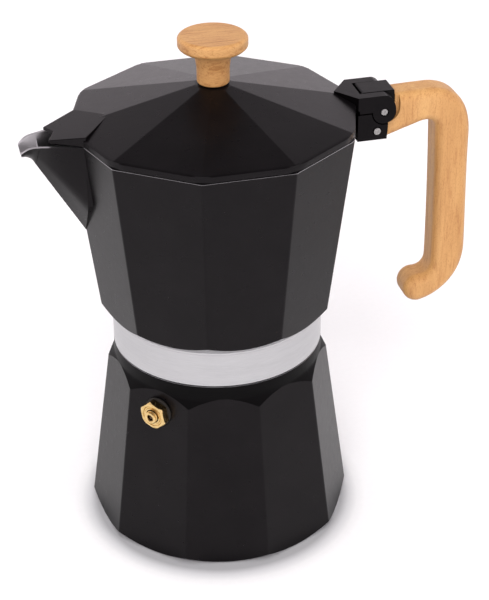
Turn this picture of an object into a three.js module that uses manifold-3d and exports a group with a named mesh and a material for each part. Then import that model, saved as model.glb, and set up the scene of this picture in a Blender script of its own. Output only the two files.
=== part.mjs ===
// Stovetop moka pot, ten-sided, in millimetres.
// +Z is up, the origin is the centre of the base, the spout points to -X and the handle to +X.

import * as THREE from 'three';
import { mergeVertices } from 'three/addons/utils/BufferGeometryUtils.js';
import { ConvexGeometry } from 'three/addons/geometries/ConvexGeometry.js';
import Module from 'manifold-3d';

const wasm = await Module();
wasm.setup();

// ---------------------------------------------------------------- driving dimensions

const SIDES = 10;
const HALF_SIDE = Math.PI / SIDES;
const ROUND = 36;                 // segments of a large turned surface
const SMALL_ROUND = 16;           // segments of a small turned surface
const GAP = 0.3;                  // clearance between separate pieces
const BOILER_TURN = 7.47;         // degrees by which the boiler's corners are turned from the collector's

const BOILER = {
  cornerRadius: 54.0,             // at cornerHeight, above the turned foot
  cornerHeight: 2.4,
  taper: 0.1372,                  // loss of corner radius per millimetre of height
  archTop: 73.6,                  // where the facets run out into the shoulder
  shoulderTop: 79.2,
  rim: 91.5,
  floor: 5,
  mouthRadius: 33.2,
};
const BOILER_TURNED = { reach: 55.6, foot: [50.4, 0], chamfer: [51.6, 0.9], coveHeight: 74.9 };
const BOILER_CAVITY = [[44.5, 5], [47.4, 8.5], [39.9, 64]];     // radius and height up its wall
const COVE_RADIUS = 5.5;
const BAND = { radius: 42, bottom: 79.5, top: 94.6 };
const THREAD = {
  pitch: 3,
  turns: 2.5,
  maleRoot: 36.8,
  maleCrest: 37.7,
  femaleCrest: 38.5,
  femaleRoot: 39.4,
};

const COLLECTOR = {
  cornerRadius: 46.98,            // at cornerHeight, above the turned chamfer
  cornerHeight: 99.56,
  taper: 0.12492,                 // gain of corner radius per millimetre of height
  rim: 173.7,
  floor: 104,
  wall: 3,
};
const SEAT = { radius: 36, bottom: 92.2, ceiling: 97.8, domeRadius: 29.3, domeEdge: 99.2, domeTop: 101 };
const COLUMN = { foot: 10, top: 6.6, height: 158, bore: 4.2, outletRadius: 2.6, outletHeight: 149 };

const FLANGE = { radius: 35.7, bottom: 91.8, top: 92.6 };
const BASKET = { radius: 32.6, wall: 0.8, strainer: 70, coneBottom: 57.5, collar: 53.5 };
const TUBE = { outer: 4.1, inner: 3.3, bottom: 9, top: 57.2 };
const GASKET = { outer: 35.6, inner: 28.6, bottom: 92.9, top: 96.4 };
const FILTER = { radius: 31, rim: 28, bottom: 96.7, thickness: 0.8, raise: 1.2 };
const HOLES = { basketRadius: 1.1, filterRadius: 1, pitch: 10, sides: 6 };

const VALVE = {
  angle: 223.47,                  // of the facet it stands on
  height: 64.7,
  seat: 42.6,
  hexFlats: 10.5,
  hexBack: 44.2,
  hexFace: 47.5,
  washer: 5.9,
};
const VALVE_SHANK = { radius: 4, inner: 36.4, chamber: 39, bore: 2.9, inlet: 1.2 };
const VALVE_CAP = { radius: 2.6, bore: 1.3, inner: 45.4, outer: 49.3 };
const VALVE_STEM = { radius: 0.9, tip: 48.6, disc: 2.5, seat: 39.3, discTop: 40.3 };
const VALVE_SPRING = { radius: 1.75, wire: 0.3, start: 40.9, end: 44.8, turns: 4 };


// The spout is lofted through stations: rim [x, half width, height] and keel [x, height], wall to lip.
const SPOUT_OUTSIDE = {
  blade: [
    { rim: [-38, 12.4, 173.7], keel: [-38, 139] },
    { rim: [-52, 12.4, 173.7], keel: [-51.3, 133.2] },
    { rim: [-62.6, 9, 173.2], keel: [-60, 148.3] },
    { rim: [-67.3, 7.3, 173], keel: [-68.8, 163.5] },
  ],
  flank: [-52, 11.1, 147.7],
  lip: [
    { rim: [-67.3, 7.3, 173], keel: [-68.8, 163.5] },
    { rim: [-70.2, 6.6, 172.7], keel: [-70, 165.5] },
    { rim: [-72.4, 6, 171.8], keel: [-71.9, 166.8] },
    { rim: [-74.4, 4.8, 170.1], keel: [-73.9, 167.3] },
  ],
};
const SPOUT_HOLLOW = {
  blade: [
    { rim: [-38, 10.2, 173.7], keel: [-38, 143] },
    { rim: [-52, 10.6, 173.7], keel: [-48.6, 139] },
    { rim: [-62.6, 7.4, 173.2], keel: [-57.6, 152] },
    { rim: [-67.3, 5.7, 173], keel: [-66.8, 165.6] },
  ],
  flank: [-50.5, 9.2, 151],
  lip: [
    { rim: [-67.3, 5.7, 173], keel: [-66.8, 165.6] },
    { rim: [-70.2, 4.9, 172.7], keel: [-69.2, 167.3] },
    { rim: [-72.4, 4.3, 171.8], keel: [-71.9, 168.5] },
    { rim: [-76.5, 3.4, 170.2], keel: [-76, 168.8] },
  ],
  open: 177,                      // the hollow is open above the rim, up to here
};

const LID = { radius: 56.4, cut: 55.2, bottom: 174.0, edge: 176.5, boss: 6.5, apex: 188.4, wall: 2.2 };
const COVER = { apex: -40.1, shoulder: -51.2, shoulderHalf: 13.1, tip: -64.3, tipHalf: 6.2, notch: -61.4 };
const COVER_PLANE = { height: 188.5, slope: 0.2065 };   // top of the spout cover at the axis, and its fall

const PIN = { x: 65, z: 172.5, radius: 1.4, half: 9.4 };
const EAR = { inner: 5.2, outer: 9.5, radius: 4.7, top: 179.4, bottom: 172.7, start: 54.4, apex: 47.4 };
const LID_SWING = 11.2;           // radius of the slot's end about the hinge pin
const BRACKET = {
  half: 9.5,
  web: 4.9,                       // half width of the middle part, between the ears
  left: 54.4,
  footRight: 66.2,
  headRight: 66.9,
  foot: 161.3,
  end: 70.3,
  tongueLeft: 57.2,
  tongueTop: 179.5,
};
const RELIEF = 5.1;               // radius of the bracket's hollow under each ear
const TANG = { half: 3, bottom: 167.5, top: 173, end: 84 };
const LUG = { half: 3.4, right: 64.8, bottom: 161.9, top: 169.4 };
const RIVET = { x: 62.2, z: 164.9, radius: 1.5, half: 9.8 };
const HANDLE = { half: 7, edge: 3.8 };
const TIP = { x: 84.0, z: 89.2, radius: 6.1 };   // round end of the handle's hook
const HANDLE_SCREW = { x: 74.5, radius: 1.6, head: 3.2, headDepth: 1.6, seat: 165, top: 172 };

const KNOB = {
  disc: 13.24,
  top: 207.6,
  lower: 202.4,
  neck: 6.2,
  neckTop: 7.3,
  foot: 188.9,
  bore: 2.3,
  round: 2.4,                     // rounding of the disc's lower edge
};
const KNOB_SCREW = { radius: 2, head: 4, headDepth: 2.2, tip: 200 };
const KNOB_WASHER = { seat: 185.9, radius: 4.8, thickness: 0.8 };    // seat: underside of the lid's boss

// ---------------------------------------------------------------- helpers

const rad = (degrees) => THREE.MathUtils.degToRad(degrees);

/** A closed three.js geometry as a solid, with its faces pointing out. */
function solid(geometry) {
  const bare = geometry.clone();
  bare.deleteAttribute('normal');
  bare.deleteAttribute('uv');
  const merged = mergeVertices(bare, 1e-4);
  const point = merged.attributes.position.array;
  const triangles = [];
  let volume = 0;
  for (let i = 0; i < merged.index.count; i += 3) {
    const [a, b, c] = [0, 1, 2].map((k) => merged.index.getX(i + k));
    if (a === b || b === c || c === a) continue;
    triangles.push(a, b, c);
    const [p, q, r] = [a, b, c].map((k) => new THREE.Vector3().fromArray(point, 3 * k));
    volume += p.dot(q.cross(r));
  }
  if (volume < 0) triangles.reverse();
  const mesh = new wasm.Mesh({
    numProp: 3,
    vertProperties: new Float32Array(point),
    triVerts: new Uint32Array(triangles),
  });
  return new wasm.Manifold(mesh);
}

/** A solid back as a three.js geometry. */
function geometryOf(body) {
  const mesh = body.getMesh();
  const geometry = new THREE.BufferGeometry();
  geometry.setAttribute('position', new THREE.BufferAttribute(new Float32Array(mesh.vertProperties), 3));
  geometry.setIndex(new THREE.BufferAttribute(new Uint32Array(mesh.triVerts), 1));
  geometry.computeVertexNormals();
  return geometry;
}

/** A profile of [radius, height] turned about Z; the first corner stands at `first` degrees. */
function turned(profile, segments = ROUND, first = 0) {
  const points = profile.map(([r, z]) => new THREE.Vector2(r, z));
  const lathe = new THREE.LatheGeometry(points, segments, rad(first + 90));
  return solid(lathe.rotateX(Math.PI / 2));
}

/** Points of an arc in a [radius, height] profile, from one angle to another, in degrees. */
function arc(cx, cy, radius, from, to, steps) {
  return Array.from({ length: steps + 1 }, (_, i) => {
    const a = rad(from + ((to - from) * i) / steps);
    return [cx + radius * Math.cos(a), cy + radius * Math.sin(a)];
  });
}

/** A cylinder along Z between two heights. */
function post(radius, bottom, top, segments = SMALL_ROUND) {
  return turned([[0, bottom], [radius, bottom], [radius, top], [0, top]], segments);
}

/** A tube along Z between two heights. */
function sleeve(inner, outer, bottom, top, segments) {
  const profile = [[inner, bottom], [outer, bottom], [outer, top], [inner, top], [inner, bottom]];
  return turned(profile, segments);
}

/** A box from its lowest corner to its highest. */
function box(low, high) {
  const size = high.map((h, i) => h - low[i]);
  const middle = high.map((h, i) => (h + low[i]) / 2);
  return solid(new THREE.BoxGeometry(...size).translate(...middle));
}

/** An outline in the XZ plane, extruded along Y between two values. */
function plate(outline, yLow, yHigh, options = {}) {
  const given = outline instanceof THREE.Shape;
  const shape = given ? outline : new THREE.Shape(outline.map((p) => new THREE.Vector2(...p)));
  const depth = yHigh - yLow - 2 * (options.bevelThickness ?? 0);
  const settings = { depth, bevelEnabled: false, curveSegments: 8, ...options };
  const middle = (yLow + yHigh) / 2;
  const geometry = new THREE.ExtrudeGeometry(shape, settings);
  return solid(geometry.rotateX(Math.PI / 2).translate(0, middle + depth / 2, 0));
}

/** An outline in the XY plane, extruded up between two heights. */
function slab(outline, bottom, top) {
  const shape = new THREE.Shape(outline.map((p) => new THREE.Vector2(...p)));
  const geometry = new THREE.ExtrudeGeometry(shape, { depth: top - bottom, bevelEnabled: false });
  return solid(geometry.translate(0, 0, bottom));
}

/** A cylinder along Y through (x, z), from -half to +half. */
function crossPost(x, z, radius, half, segments = SMALL_ROUND) {
  return solid(new THREE.CylinderGeometry(radius, radius, 2 * half, segments).translate(x, 0, z));
}

/** The convex solid around a list of points. */
function hull(points) {
  return solid(new ConvexGeometry(points.map((p) => new THREE.Vector3(...p))));
}

/** A ten-sided body whose corner radius runs straight from one [radius, height] to the next. */
function faceted(profile, first = 0) {
  const ends = [[0, profile[0][1]], ...profile, [0, profile.at(-1)[1]]];
  return turned(ends, SIDES, first);
}

/** Radius of the collector's outer corners at a height. */
const collectorCorner = (z) => COLLECTOR.cornerRadius + COLLECTOR.taper * (z - COLLECTOR.cornerHeight);

/** Radius of the boiler's outer corners at a height. */
const boilerCorner = (z) => BOILER.cornerRadius - BOILER.taper * (z - BOILER.cornerHeight);

/** A helical thread ridge: root and crest radii, height of its start, and number of turns. */
function ridge(root, crest, start, turns) {
  const steps = 24;               // per turn
  const run = turns * steps;
  const width = THREAD.pitch * 0.32;
  const position = [];
  const index = [];
  for (let i = 0; i <= run; i += 1) {
    const a = (i / steps) * 2 * Math.PI;
    const z = start + (i / steps) * THREAD.pitch;
    const flat = width * 0.35;
    const section = [[root, z - width], [crest, z - flat], [crest, z + flat], [root, z + width]];
    section.forEach(([r, h]) => position.push(r * Math.cos(a), r * Math.sin(a), h));
  }
  for (let i = 0; i < run; i += 1) {
    for (let k = 0; k < 4; k += 1) {
      const [a, b] = [4 * i + k, 4 * i + ((k + 1) % 4)];
      index.push(a, b, b + 4, a, b + 4, a + 4);
    }
  }
  const last = 4 * run;
  index.push(0, 2, 1, 0, 3, 2, last, last + 1, last + 2, last, last + 2, last + 3);
  const geometry = new THREE.BufferGeometry();
  geometry.setAttribute('position', new THREE.Float32BufferAttribute(position, 3));
  geometry.setIndex(index);
  return solid(geometry);
}

/** Concentric rings of short drills across a disc, between two heights. */
function perforation(reach, radius, bottom, top) {
  const drills = [];
  for (let ring = 0; ring * HOLES.pitch <= reach; ring += 1) {
    const count = Math.max(1, 6 * ring);
    for (let i = 0; i < count; i += 1) {
      const a = (i / count) * 2 * Math.PI + ring * 0.26;
      const at = ring * HOLES.pitch;
      const drill = post(radius, bottom, top, HOLES.sides);
      drills.push(drill.translate([at * Math.cos(a), at * Math.sin(a), 0]));
    }
  }
  return drills.reduce((all, drill) => all.add(drill));
}

/** Lays a solid made along +Z, at its distance from the pot's axis, along the valve's axis. */
function onValveAxis(body) {
  return body.rotate([0, 90, VALVE.angle]).translate([0, 0, VALVE.height]);
}

// ---------------------------------------------------------------- lower chamber

function boiler() {
  const { archTop, shoulderTop, rim, floor, mouthRadius } = BOILER;
  const facets = faceted([
    [boilerCorner(-1), -1], [boilerCorner(archTop), archTop],
    [BOILER.cornerRadius, archTop + 0.1], [BOILER.cornerRadius, rim + 1],
  ], 270 + BOILER_TURN);
  const { reach, foot, chamfer, coveHeight } = BOILER_TURNED;
  const envelope = turned([
    [0, 0], foot, chamfer, [reach, chamfer[1] + reach - chamfer[0] - 1], [reach, coveHeight - COVE_RADIUS],
    ...arc(BAND.radius + COVE_RADIUS, coveHeight, COVE_RADIUS, 270, 180, 6),
    [BAND.radius, shoulderTop], [THREAD.maleRoot, shoulderTop], [THREAD.maleRoot, rim], [0, rim],
  ]);
  const cavity = turned([
    [0, floor], ...BOILER_CAVITY, [mouthRadius, 75], [mouthRadius, rim + 1], [0, rim + 1],
  ]);
  const ridgeOut = ridge(THREAD.maleRoot - 0.4, THREAD.maleCrest, shoulderTop + 2.2, THREAD.turns);
  const drill = onValveAxis(post(VALVE_SHANK.radius + GAP, 30, 60));
  const spotFace = onValveAxis(post(VALVE.washer + GAP + 0.1, VALVE.seat, 60));
  return facets.intersect(envelope).add(ridgeOut).subtract(cavity).subtract(drill).subtract(spotFace);
}

function valveBody() {
  const { hexFlats, hexBack, hexFace } = VALVE;
  const { radius, inner, chamber, bore, inlet } = VALVE_SHANK;
  const corner = hexFlats / 2 / Math.cos(Math.PI / 6);
  const hexagon = turned([[0, hexBack], [corner, hexBack], [corner, hexFace], [0, hexFace]], 6, 12);
  const face = hexFace + 0.05;
  const chamfer = turned([
    [0, hexBack - 1], [corner + 1, hexBack - 1], [corner + 1, hexFace - 1.5],
    [hexFlats / 2, face], [0, face],
  ], 32);
  const shank = post(radius, inner, hexBack + 0.5);
  const hollow = post(bore, chamber, hexFace + 1).add(post(inlet, inner - 1, chamber + 1));
  return onValveAxis(hexagon.intersect(chamfer).add(shank).subtract(hollow));
}

function valveWasher() {
  const [low, high] = [VALVE.seat + GAP, VALVE.hexBack - GAP];
  const inner = VALVE_SHANK.radius + GAP;
  return onValveAxis(post(VALVE.washer, low, high).subtract(post(inner, low - 1, high + 1)));
}

function valveCap() {
  const { radius, bore, inner, outer } = VALVE_CAP;
  const ring = turned([
    [bore, inner], [radius, inner], [radius, outer - 0.5], [radius - 0.5, outer],
    [bore, outer], [bore, inner],
  ], SMALL_ROUND);
  return onValveAxis(ring);
}

function valvePlunger() {
  const { radius, tip, disc, seat, discTop } = VALVE_STEM;
  return onValveAxis(turned([
    [0, seat], [disc, seat], [disc, discTop], [radius, discTop],
    [radius, tip - 0.4], [radius - 0.4, tip], [0, tip],
  ], SMALL_ROUND));
}

function valveSpring() {
  const { radius, wire, start, end, turns } = VALVE_SPRING;
  const steps = turns * 10;
  const points = Array.from({ length: steps + 1 }, (_, i) => {
    const a = (i / 10) * 2 * Math.PI;
    const z = start + ((end - start) * i) / steps;
    return new THREE.Vector3(radius * Math.cos(a), radius * Math.sin(a), z);
  });
  const section = new THREE.Shape(arc(0, 0, wire, 0, 300, 5).map((p) => new THREE.Vector2(...p)));
  const path = new THREE.CatmullRomCurve3(points);
  const coil = new THREE.ExtrudeGeometry(section, { steps, extrudePath: path, bevelEnabled: false });
  return onValveAxis(solid(coil));
}

// ---------------------------------------------------------------- funnel, gasket and filter

function funnelBasket() {
  const { radius, wall, strainer, coneBottom, collar } = BASKET;
  const neck = TUBE.outer + GAP;
  return turned([
    [neck, collar], [neck + wall, collar], [neck + wall, coneBottom - 0.6], [radius, strainer - 0.6],
    [radius, FLANGE.bottom], [FLANGE.radius, FLANGE.bottom], [FLANGE.radius, FLANGE.top],
    [radius - wall, FLANGE.top], [radius - wall, strainer - 0.4], [radius - wall - 1.2, strainer - 0.4],
    [neck, coneBottom + 0.4], [neck, collar],
  ]);
}

function funnelStrainer() {
  const reach = BASKET.radius - BASKET.wall - GAP;
  const low = BASKET.strainer - 0.1;
  const disc = post(reach, low, low + 0.8, ROUND);
  return disc.subtract(perforation(reach - 3, HOLES.basketRadius, low - 1, low + 2));
}

function funnelTube() {
  const { outer, inner, bottom, top } = TUBE;
  return sleeve(inner, outer, bottom, top, SMALL_ROUND);
}

function gasket() {
  const { outer, inner, bottom, top } = GASKET;
  return sleeve(inner, outer, bottom, top, ROUND);
}

function filterPlate() {
  const { radius, rim, bottom, thickness, raise } = FILTER;
  const disc = turned([
    [0, bottom + raise], [rim - raise, bottom + raise], [rim, bottom], [radius, bottom],
    [radius, bottom + thickness], [rim - 0.3, bottom + thickness],
    [rim - raise - 0.3, bottom + raise + thickness], [0, bottom + raise + thickness],
  ], ROUND);
  return disc.subtract(perforation(rim - 3.5, HOLES.filterRadius, bottom - 1, bottom + 4));
}

// ---------------------------------------------------------------- collector

/** The spout's outside or its hollow: a keel that falls from the lip to the wall. */
function spoutSolid({ blade, flank, lip, open }) {
  const both = ([x, half, z]) => [[x, half, z], [x, -half, z]];
  const corners = ({ rim, keel }) => {
    const raised = open ? both([rim[0], rim[1], open]) : [];
    return [...both(rim), ...raised, [keel[0], 0, keel[1]]];
  };
  let body = hull([...blade.flatMap(corners), ...both(flank)]);
  for (let i = 1; i < lip.length; i += 1) {
    body = body.add(hull([...corners(lip[i - 1]), ...corners(lip[i])]));
  }
  return body;
}

function collector() {
  const { rim, floor, wall, cornerHeight } = COLLECTOR;
  const facets = faceted([[collectorCorner(BAND.bottom), BAND.bottom], [collectorCorner(rim), rim]]);
  const { radius, bottom: skirtBottom, top: skirtTop } = BAND;
  const envelope = turned([
    [0, skirtBottom], [radius - 0.6, skirtBottom], [radius, skirtBottom + 0.6], [radius, skirtTop],
    [radius + cornerHeight - skirtTop, cornerHeight], [62, cornerHeight + 15], [62, rim + 1], [0, rim + 1],
  ]);
  const casting = withSkirt(facets).intersect(envelope);
  const inset = wall / Math.cos(HALF_SIDE);
  const chamber = faceted([
    [collectorCorner(floor) - inset - 5, floor], [collectorCorner(floor + 5) - inset, floor + 5],
    [collectorCorner(rim + 1) - inset, rim + 1],
  ]);
  const hollow = chamber.add(spoutSolid(SPOUT_HOLLOW));
  const bore = turned([
    [0, BAND.bottom - 1], [THREAD.femaleRoot, BAND.bottom - 1], [THREAD.femaleRoot, SEAT.bottom],
    [SEAT.radius, SEAT.bottom], [SEAT.radius, SEAT.ceiling],
    [SEAT.domeRadius, SEAT.ceiling], [SEAT.domeRadius, SEAT.domeEdge],
    [COLUMN.bore + 4, SEAT.domeTop], [COLUMN.bore, SEAT.domeTop + 3],
    [COLUMN.bore - 0.6, COLUMN.height - 4], [0, COLUMN.height - 2.5],
  ]);
  const ridgeIn = ridge(THREAD.femaleRoot + 0.4, THREAD.femaleCrest, BAND.bottom + 2.1, THREAD.turns);
  const column = turned([
    [0, floor - 2], [COLUMN.foot, floor - 2], [COLUMN.foot, floor + 2], [COLUMN.foot - 1.6, floor + 12],
    [COLUMN.top, COLUMN.height - 3], [COLUMN.top - 1.8, COLUMN.height - 0.8], [0, COLUMN.height],
  ], 28);
  const outlets = crossPost(0, COLUMN.outletHeight, COLUMN.outletRadius, 12, 12);
  const { half, right, bottom, top } = LUG;
  const lug = box([50, -half, bottom], [right, half, top]);
  const rivetHole = crossPost(RIVET.x, RIVET.z, RIVET.radius + GAP, 12);
  const shell = casting.add(spoutSolid(SPOUT_OUTSIDE)).add(lug.subtract(rivetHole)).subtract(hollow);
  return shell.add(column).subtract(bore).subtract(outlets).add(ridgeIn);
}

/** The ten-sided casting above, joined to the round skirt that is turned below it. */
function withSkirt(facets) {
  const above = facets.intersect(post(80, BAND.top - 0.5, COLLECTOR.rim + 1, 8));
  return above.add(post(BAND.radius, BAND.bottom, BAND.top + 2, ROUND));
}

// ---------------------------------------------------------------- lid

/** The lid's low ten-sided pyramid, from its edge up to the boss under the knob. */
function lidPyramid(radius, bottom, edge, boss, apex) {
  return faceted([[radius, bottom], [radius, edge], [boss, apex]]);
}

function spoutCoverSolid() {
  const { apex, shoulder, shoulderHalf, tip, tipHalf, notch } = COVER;
  const outline = [
    [apex, 0], [shoulder, shoulderHalf], [tip, tipHalf],
    [notch, 0], [tip, -tipHalf], [shoulder, -shoulderHalf],
  ];
  const { height, slope } = COVER_PLANE;
  const [far, near] = [-67, -30];
  const under = plate([
    [far, LID.bottom], [near, LID.bottom], [near, height + near * slope], [far, height + far * slope],
  ], -20, 20);
  return slab(outline, LID.bottom - 1, 190).intersect(under);
}

function hingeEars() {
  const { outer, inner, radius, top, bottom, start, apex } = EAR;
  const outline = new THREE.Shape();
  outline.moveTo(apex, LID.bottom);
  outline.lineTo(start + 0.6, LID.bottom);
  outline.lineTo(start + 0.6, bottom);
  outline.lineTo(PIN.x - Math.sqrt(radius ** 2 - (bottom - PIN.z) ** 2), bottom);
  outline.absarc(PIN.x, PIN.z, radius, Math.PI, 2 * Math.PI, false);
  outline.bezierCurveTo(PIN.x + radius, PIN.z + 3.8, PIN.x + 2.6, top, PIN.x, top);
  outline.lineTo(apex, top);
  const profile = plate(outline, -outer, outer);
  const plan = slab([[apex, 0], [start, -outer], [80, -outer], [80, outer], [start, outer]], 160, 190);
  const slot = box([PIN.x, -inner, 160], [80, inner, 190]);
  const sweep = crossPost(PIN.x, PIN.z, LID_SWING, inner, 40);
  const bore = crossPost(PIN.x, PIN.z, PIN.radius + GAP, 12);
  return profile.intersect(plan).subtract(slot).subtract(sweep).subtract(bore);
}

function lid() {
  const { radius, cut, bottom, edge, boss, apex, wall } = LID;
  const rounded = post(cut, bottom - 1, apex + 1, 60);
  const outside = lidPyramid(radius, bottom, edge, boss, apex).intersect(rounded);
  const inside = lidPyramid(radius - 4, bottom - 1, edge - wall, boss + 3, apex - wall - 0.3);
  const screwHole = post(KNOB_SCREW.radius + GAP, 170, 200);
  const swing = crossPost(PIN.x, PIN.z, LID_SWING, EAR.inner, 40);
  const body = outside.subtract(inside).subtract(swing);
  return body.add(spoutCoverSolid()).add(hingeEars()).subtract(screwHole);
}

function knob() {
  const { disc, top, lower, neck, neckTop, foot, bore, round } = KNOB;
  const outside = turned([
    [0, foot], [neck, foot], [neck, foot + 8.5], [neckTop, lower], [disc - round, lower],
    ...arc(disc - round, lower + round, round, 300, 360, 3),
    [disc, top - 0.8], [disc - 0.8, top], [0, top],
  ], 24);
  return outside.subtract(post(bore, foot - 1, KNOB_SCREW.tip + 1));
}

function knobWasher() {
  const { seat, radius, thickness } = KNOB_WASHER;
  const [low, high] = [seat - GAP - thickness, seat - GAP];
  const inner = KNOB_SCREW.radius + GAP;
  return sleeve(inner, radius, low, high, SMALL_ROUND);
}

function knobScrew() {
  const seat = KNOB_WASHER.seat - 2 * GAP - KNOB_WASHER.thickness;
  const { radius, head, headDepth, tip } = KNOB_SCREW;
  const low = seat - headDepth;
  const outside = turned([
    [0, low], [head - 1, low], [head, low + 1], [head, seat], [radius, seat],
    [radius, tip - 1], [radius - 0.8, tip], [0, tip],
  ], SMALL_ROUND);
  return outside.subtract(box([-3, -0.5, low - 1], [3, 0.5, low + 1]));
}

// ---------------------------------------------------------------- hinge, bracket and handle

function hingePin() {
  return crossPost(PIN.x, PIN.z, PIN.radius, PIN.half);
}

function handleBracket() {
  const { half, web, left, footRight, headRight, foot, end, tongueLeft, tongueTop } = BRACKET;
  const block = plate([
    [left, foot], [footRight, foot], [headRight, EAR.bottom - 1.5 * GAP], [left, EAR.bottom - 1.5 * GAP],
  ], -half, half);
  const relief = crossPost(PIN.x, PIN.z, RELIEF, half + 1, 32);
  const core = box([left, -web, foot], [end, web, EAR.bottom + 4]);
  const tongue = plate([
    [tongueLeft, EAR.bottom], [tongueLeft, tongueTop - 0.6], [tongueLeft + 0.6, tongueTop],
    [end, tongueTop], [end, EAR.bottom],
  ], -web, web);
  const reach = LID_SWING - GAP;
  const below = box([50, -12, 155], [80, 12, EAR.bottom - GAP]);
  const keep = crossPost(PIN.x, PIN.z, reach, half + 1, 40).add(below);
  const tang = box([end - 1, -TANG.half, TANG.bottom], [TANG.end, TANG.half, TANG.top]);
  const body = block.subtract(relief).add(core.add(tongue).intersect(keep)).add(tang);
  const wallClear = faceted([
    [collectorCorner(150) + GAP * 1.4, 150], [collectorCorner(COLLECTOR.rim) + GAP * 1.4, COLLECTOR.rim],
    [LID.radius + GAP * 1.4, LID.bottom - GAP], [LID.radius + GAP * 1.4, LID.bottom + 1],
  ]);
  const slotHalf = LUG.half + GAP;
  const lugSlot = box([50, -slotHalf, LUG.bottom - GAP], [LUG.right + GAP, slotHalf, LUG.top + GAP]);
  const pinHole = crossPost(PIN.x, PIN.z, PIN.radius + GAP, 12);
  const rivetHole = crossPost(RIVET.x, RIVET.z, RIVET.radius + GAP, 12);
  const { x, radius, top } = HANDLE_SCREW;
  const screwHole = post(radius + GAP, 150, top + 1).translate([x, 0, 0]);
  const hollows = [wallClear, lugSlot, pinHole, rivetHole, screwHole];
  return hollows.reduce((rest, hollow) => rest.subtract(hollow), body);
}

function bracketRivet() {
  return crossPost(RIVET.x, RIVET.z, RIVET.radius, RIVET.half, 12);
}

/** The handle's side view: an arm, a bend, a straight grip and a hooked end. */
function handleOutline() {
  const outline = new THREE.Shape();
  outline.moveTo(67.2, 160.0);
  outline.lineTo(80, 164.1);
  outline.bezierCurveTo(84.2, 165.5, 87.6, 165.4, 88, 160.5);
  outline.bezierCurveTo(88.6, 145, 89.2, 122, 89.2, 101);
  outline.bezierCurveTo(89.2, 96.5, 86.8, 95.1, TIP.x, TIP.z + TIP.radius);
  outline.absarc(TIP.x, TIP.z, TIP.radius, rad(90), rad(270), false);
  outline.bezierCurveTo(92, 84.2, 103.3, 92, 103.3, 107);
  outline.bezierCurveTo(103, 125, 102.2, 142, 102.3, 157);
  outline.bezierCurveTo(102.3, 169.3, 97, 178, 85, 178);
  outline.lineTo(67.2, 177.6);
  return outline;
}

function handle() {
  const { half, edge } = HANDLE;
  const bevel = { bevelEnabled: true, bevelThickness: edge, bevelSize: edge, bevelOffset: -edge };
  const body = plate(handleOutline(), -half, half, { ...bevel, bevelSegments: 3, curveSegments: 6 });
  const webPocket = box([60, -BRACKET.web - GAP, 150], [BRACKET.end + GAP, BRACKET.web + GAP, 182]);
  const clear = EAR.top - PIN.z + GAP;
  const sweep = crossPost(PIN.x, PIN.z, clear, 12, 32).add(box([60, -12, PIN.z], [PIN.x + clear, 12, 182]));
  const flanks = sweep.subtract(box([BRACKET.end, -BRACKET.web, 150], [90, BRACKET.web, 190]));
  const trim = box([60, -12, 150], [BRACKET.headRight + GAP + 0.2, 12, 190]);
  const { half: tangHalf, bottom, top, end } = TANG;
  const socket = box([60, -tangHalf - GAP, bottom - GAP], [end + GAP, tangHalf + GAP, top + GAP]);
  const { x, radius, head, seat, top: screwTop } = HANDLE_SCREW;
  const screwHole = post(radius + GAP, 150, screwTop + 1).add(post(head + GAP, 150, seat + GAP));
  const hollows = [webPocket, flanks, trim, socket, screwHole.translate([x, 0, 0])];
  return hollows.reduce((rest, hollow) => rest.subtract(hollow), body);
}

function handleScrew() {
  const { x, radius, head, headDepth, seat, top } = HANDLE_SCREW;
  const low = seat - headDepth;
  const outside = turned([
    [0, low], [head - 0.6, low], [head, low + 0.6], [head, seat],
    [radius, seat], [radius, top - 1], [0, top],
  ], SMALL_ROUND);
  return outside.subtract(box([-2.2, -0.4, low - 1], [2.2, 0.4, low + 0.8])).translate([x, 0, 0]);
}

// ---------------------------------------------------------------- materials and assembly

const FINISH = {
  blackPaint: { color: 0x262427, roughness: 0.45, metalness: 0.1 },
  castAluminium: { color: 0xb9b9bb, roughness: 0.4, metalness: 0.9 },
  aluminiumSheet: { color: 0xc6c7c9, roughness: 0.35, metalness: 0.9 },
  brass: { color: 0xd7af6e, roughness: 0.3, metalness: 0.95 },
  steel: { color: 0xb8bbbf, roughness: 0.3, metalness: 1 },
  sealRubber: { color: 0xe8e4da, roughness: 0.7, metalness: 0 },
  blackFibre: { color: 0x1a1816, roughness: 0.8, metalness: 0 },
  woodLook: { color: 0xdca56a, roughness: 0.5, metalness: 0 },
};

const PIECES = {
  boiler: [boiler, 'blackPaint'],
  valve_body: [valveBody, 'brass'],
  valve_washer: [valveWasher, 'blackFibre'],
  valve_cap: [valveCap, 'brass'],
  valve_plunger: [valvePlunger, 'steel'],
  valve_spring: [valveSpring, 'steel'],
  funnel_basket: [funnelBasket, 'aluminiumSheet'],
  funnel_strainer: [funnelStrainer, 'aluminiumSheet'],
  funnel_tube: [funnelTube, 'aluminiumSheet'],
  gasket: [gasket, 'sealRubber'],
  filter_plate: [filterPlate, 'aluminiumSheet'],
  collector: [collector, 'castAluminium'],
  handle_bracket: [handleBracket, 'blackPaint'],
  bracket_rivet: [bracketRivet, 'steel'],
  hinge_pin: [hingePin, 'steel'],
  handle: [handle, 'woodLook'],
  handle_screw: [handleScrew, 'steel'],
  lid: [lid, 'blackPaint'],
  knob: [knob, 'woodLook'],
  knob_washer: [knobWasher, 'steel'],
  knob_screw: [knobScrew, 'steel'],
};

const pot = new THREE.Group();
for (const [name, [make, finish]] of Object.entries(PIECES)) {
  const mesh = new THREE.Mesh(geometryOf(make()), new THREE.MeshStandardMaterial(FINISH[finish]));
  mesh.name = name;
  pot.add(mesh);
}

export default pot;
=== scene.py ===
"""Ten-sided stovetop moka pot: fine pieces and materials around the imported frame.

Metres in the row frame: +Z up, the handle at +X, the spout at -X.
Outlines and profiles are written in millimetres.
"""

import math

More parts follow.
